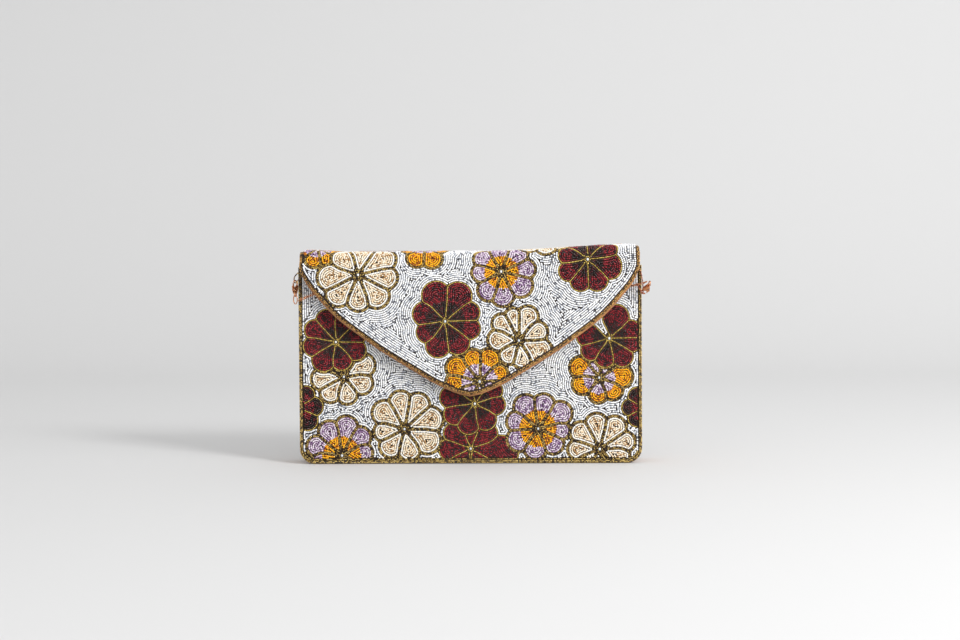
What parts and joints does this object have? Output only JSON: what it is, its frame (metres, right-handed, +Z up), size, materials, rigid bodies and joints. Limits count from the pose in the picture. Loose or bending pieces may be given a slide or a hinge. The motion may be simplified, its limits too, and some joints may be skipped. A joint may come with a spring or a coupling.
{
  "type": "clutch purse",
  "caption": "Beaded envelope clutch with a V-shaped fold-over flap, a magnetic snap, side loops with clasps and a stowed chain.",
  "frame": {"origin": "bottom centre of the bag, on the surface that it stands on", "axes": "+X across the front towards the viewer's right, +Y from front to back, +Z up"},
  "size_m": [0.2636, 0.0395, 0.159],
  "materials": {
    "silver_beads": "gloss",
    "cream_beads": "gloss",
    "red_beads": "gloss",
    "black_beads": "gloss",
    "yellow_beads": "gloss",
    "lilac_beads": "gloss",
    "gold_beads": "gloss",
    "backing_cloth": "matte",
    "stiff_board": "matte",
    "tan_satin": "satin",
    "brass": "polished",
    "steel": "brushed",
    "rose_gold": "polished",
    "magnet": "matte"
  },
  "bodies": {
    "bag": {"back_beadwork": "silver_beads", "back_board": "stiff_board", "back_cloth": "backing_cloth", "back_lining": "tan_satin", "back_piping": "gold_beads", "base_board": "stiff_board", "chain_coil": "rose_gold", "chain_left_end": "rose_gold", "chain_right_end": "rose_gold", "front_beadwork": "silver_beads", "front_board": "stiff_board", "front_cloth": "backing_cloth", "front_lining": "tan_satin", "front_piping": "gold_beads", "gusset": "tan_satin", "gusset_lining": "tan_satin", "left_loop": "gold_beads", "mouth_piping": "gold_beads", "right_loop": "gold_beads", "slip_pocket": "tan_satin", "snap_magnet": "magnet", "snap_socket_case": "brass", "snap_socket_plate": "brass", "snap_socket_washer": "steel"},
    "flap_spine": {"spine_beadwork": "silver_beads", "spine_cloth": "backing_cloth", "spine_lining": "tan_satin", "spine_piping_left": "gold_beads", "spine_piping_right": "gold_beads"},
    "flap": {"flap_beadwork": "silver_beads", "flap_board": "stiff_board", "flap_cloth": "backing_cloth", "flap_lining": "tan_satin", "flap_piping": "gold_beads", "snap_stud": "brass", "snap_stud_washer": "steel"},
    "left_clasp": {"left_clasp_body": "rose_gold", "left_clasp_lever_pin": "steel", "left_clasp_spring": "steel", "left_jump_ring": "rose_gold"},
    "left_lever": {"left_clasp_lever": "rose_gold"},
    "right_clasp": {"right_clasp_body": "rose_gold", "right_clasp_lever_pin": "steel", "right_clasp_spring": "steel", "right_jump_ring": "rose_gold"},
    "right_lever": {"right_clasp_lever": "rose_gold"}
  },
  "joints": [
    {"name": "flap_fold_back", "type": "hinge", "parent": "bag", "child": "flap_spine", "pos_m": [0, 0.01291, 0.15701], "axis": [-1, 0, 0], "range_deg": [0, 100]},
    {"name": "flap_fold_front", "type": "hinge", "parent": "flap_spine", "child": "flap", "pos_m": [0, -0.01451, 0.15701], "axis": [-1, 0, 0], "range_deg": [0, 100]},
    {"name": "left_clasp_swing", "type": "hinge", "parent": "bag", "child": "left_clasp", "pos_m": [-0.12822, -0.01107, 0.1349], "axis": [-0.8211, 0.5708, 0], "range_deg": [0, 35], "deforming": ["chain_left_end"]},
    {"name": "left_lever_press", "type": "hinge", "parent": "left_clasp", "child": "left_lever", "pos_m": [-0.12924, -0.01254, 0.1296], "axis": [-0.8211, 0.5708, 0], "range_deg": [0, 20], "stiffness_Nm_per_rad": 0.0005, "springref_deg": -20.05, "deforming": ["left_clasp_spring"]},
    {"name": "right_clasp_swing", "type": "hinge", "parent": "bag", "child": "right_clasp", "pos_m": [0.12759, -0.0115, 0.12649], "axis": [0, 0.663, 0.7486], "range_deg": [0, 35], "deforming": ["chain_right_end"]},
    {"name": "right_lever_press", "type": "hinge", "parent": "right_clasp", "child": "right_lever", "pos_m": [0.13117, -0.01472, 0.12934], "axis": [0, 0.663, 0.7486], "range_deg": [0, 20], "stiffness_Nm_per_rad": 0.0005, "springref_deg": -20.05, "deforming": ["right_clasp_spring"]}
  ],
  "couplings": [
    {"joint": "flap_fold_front", "follows": "flap_fold_back", "ratio": 1}
  ]
}
